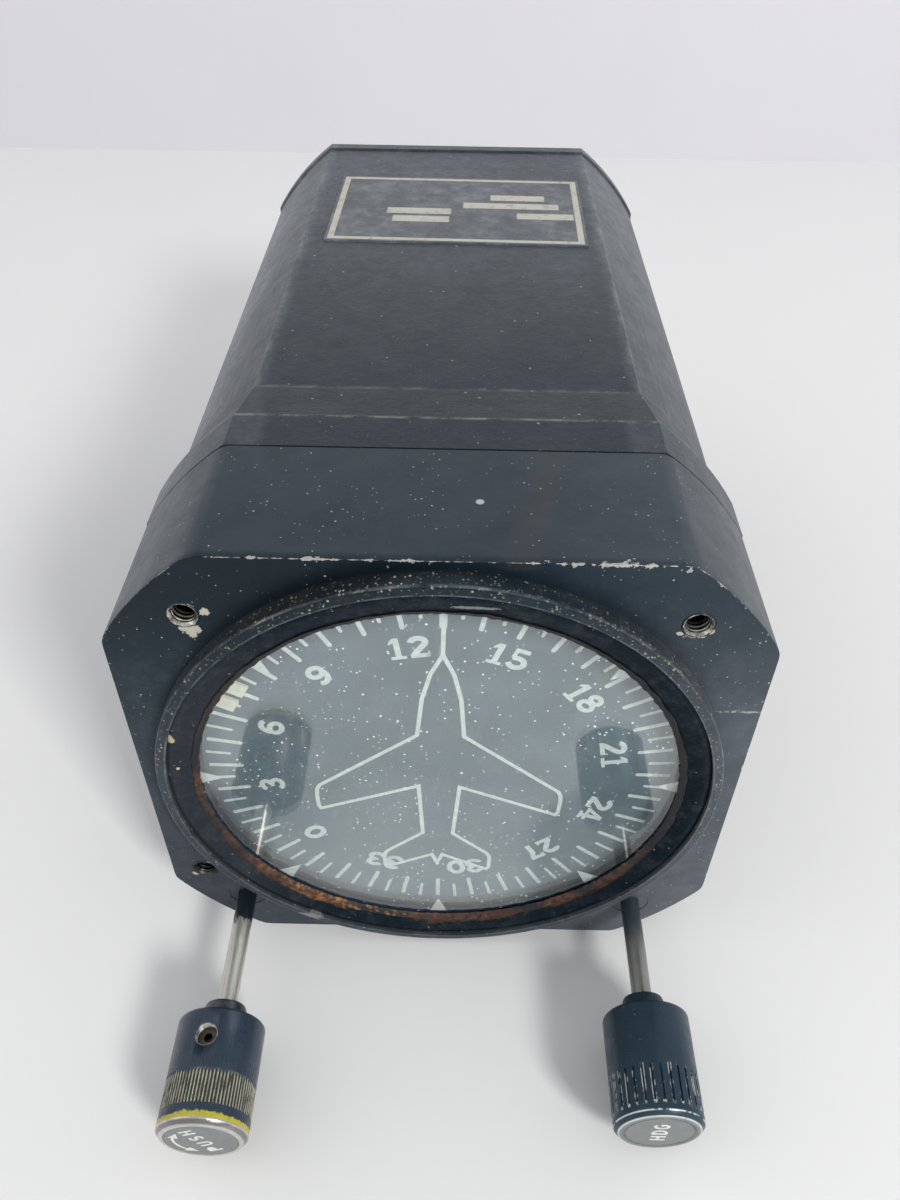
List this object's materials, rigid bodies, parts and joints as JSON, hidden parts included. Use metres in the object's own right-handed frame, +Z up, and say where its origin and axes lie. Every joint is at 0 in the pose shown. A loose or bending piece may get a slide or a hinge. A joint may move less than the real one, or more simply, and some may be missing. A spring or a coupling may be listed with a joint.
{
  "type": "directional gyro indicator",
  "caption": "Panel instrument with a rotating compass card behind glass, a heading bug, a caging knob and a heading knob on a long case.",
  "frame": {"origin": "on the dial's axis, in the plane of the flat front face that meets the panel's back", "axes": "+X to the right of the dial seen from the front, +Y into the case, +Z up"},
  "size_m": [0.085, 0.2027, 0.0814],
  "materials": {
    "housing_paint": "dark blue-black semi-matt paint, chipped at the edges",
    "cover_paint": "dusty black paint",
    "knob_finish": "black, worn on the grip",
    "knob_disc": "grey disc with a white legend",
    "bare_steel": "bare, lightly tarnished",
    "dark_steel": "darkened",
    "cover_glass": "clear, hazy",
    "sealant": "aged brown-orange sealant",
    "gasket": "black rubber",
    "dial_black": "flat black",
    "bug_cream": "cream paint",
    "gear_brass": "machined",
    "frame_aluminium": "machined",
    "plate": "dark printed foil plate"
  },
  "bodies": {
    "case": {"front_housing": "housing_paint", "thread_inserts": "bare_steel", "glass_gasket": "gasket", "cover_glass": "cover_glass", "glass_sealant": "sealant", "glass_retaining_ring": "housing_paint", "dial_mask": "dial_black", "card_bearing_housing": "frame_aluminium", "card_bearings": "bare_steel", "bug_idler_stud": "bare_steel", "shaft_bushings": "gear_brass", "push_return_spring": "bare_steel", "setting_idler_stud": "bare_steel", "front_bulkhead": "frame_aluminium", "mechanism_screws": "bare_steel", "gimbal_frame": "frame_aluminium", "frame_screws": "bare_steel", "outer_gimbal_bearings": "bare_steel", "bearing_adjuster": "gear_brass", "caging_lever_pivot": "bare_steel", "case_cover": "cover_paint", "seam_gasket": "gasket", "rear_cover": "cover_paint", "rear_gasket": "gasket", "case_screws": "bare_steel", "suction_fitting": "gear_brass", "inlet_filter": "frame_aluminium", "filter_retainer": "dark_steel", "air_tube": "gear_brass", "data_plate": "plate"},
    "card": {"compass_card": "dial_black", "card_hub": "frame_aluminium", "card_shaft": "bare_steel", "card_bevel_gear": "gear_brass", "card_setting_gear": "gear_brass"},
    "bug": {"bug_ring_gear": "gear_brass", "heading_bug": "bug_cream"},
    "bug_idler": {"bug_idler_gear": "gear_brass"},
    "hdg": {"hdg_knob": "knob_finish", "hdg_knob_disc": "knob_disc", "hdg_set_screw": "dark_steel", "hdg_shaft": "dark_steel", "hdg_pinion": "bare_steel"},
    "push_slider": {"spring_washer": "bare_steel"},
    "push": {"push_knob": "knob_finish", "push_knob_disc": "knob_disc", "push_set_screw": "bare_steel", "push_shaft": "bare_steel", "setting_pinion": "bare_steel"},
    "setting_idler": {"setting_idler_gear": "gear_brass"},
    "outer_gimbal": {"outer_gimbal": "frame_aluminium", "gimbal_bevel_gear": "gear_brass", "air_nozzle": "gear_brass", "inner_gimbal_bearings": "bare_steel"},
    "inner_gimbal": {"inner_gimbal": "frame_aluminium", "rotor_bearings": "bare_steel"},
    "rotor": {"rotor": "gear_brass"},
    "caging_lever": {"caging_lever": "frame_aluminium"}
  },
  "joints": [
    {"name": "gimbal_turn", "type": "hinge", "parent": "case", "child": "outer_gimbal", "pos_m": [0, 0.086, 0], "axis": [0, 0, 1], "continuous": true},
    {"name": "card_turn", "type": "hinge", "parent": "case", "child": "card", "pos_m": [0, 0, 0], "axis": [0, 1, 0], "continuous": true},
    {"name": "setting_idler_turn", "type": "hinge", "parent": "case", "child": "setting_idler", "pos_m": [-0.0296, 0.032, -0.02447], "axis": [0, 1, 0], "continuous": true},
    {"name": "inner_gimbal_tilt", "type": "hinge", "parent": "outer_gimbal", "child": "inner_gimbal", "pos_m": [0, 0.086, 0], "axis": [1, 0, 0], "range_deg": [-55, 55]},
    {"name": "rotor_spin", "type": "hinge", "parent": "inner_gimbal", "child": "rotor", "pos_m": [0, 0.086, 0], "axis": [0, 1, 0], "continuous": true},
    {"name": "bug_turn", "type": "hinge", "parent": "case", "child": "bug", "pos_m": [0, 0.009, 0], "axis": [0, 1, 0], "continuous": true},
    {"name": "bug_idler_turn", "type": "hinge", "parent": "case", "child": "bug_idler", "pos_m": [0.0296, 0.009, -0.02447], "axis": [0, 1, 0], "continuous": true},
    {"name": "hdg_knob_turn", "type": "hinge", "parent": "case", "child": "hdg", "pos_m": [0.03143, 0, -0.03143], "axis": [0, 1, 0], "continuous": true},
    {"name": "push_knob_slide", "type": "slide", "parent": "case", "child": "push_slider", "axis": [0, 1, 0], "range_m": [0, 0.005], "stiffness_N_per_m": 400, "springref_m": -0.005, "deforming": ["push_return_spring"]},
    {"name": "push_knob_turn", "type": "hinge", "parent": "push_slider", "child": "push", "pos_m": [-0.03143, 0, -0.03143], "axis": [0, 1, 0], "continuous": true},
    {"name": "caging_lever_rock", "type": "hinge", "parent": "case", "child": "caging_lever", "pos_m": [-0.01943, 0.0385, -0.03143], "axis": [0, 0, 1], "range_deg": [-24.5, 0]}
  ],
  "couplings": [
    {"joint": "card_turn", "follows": "gimbal_turn", "ratio": -1},
    {"joint": "setting_idler_turn", "follows": "gimbal_turn", "ratio": 7},
    {"joint": "bug_idler_turn", "follows": "bug_turn", "ratio": -7},
    {"joint": "hdg_knob_turn", "follows": "bug_turn", "ratio": 14},
    {"joint": "caging_lever_rock", "follows": "push_knob_slide", "rad_per_m": -85.521}
  ]
}
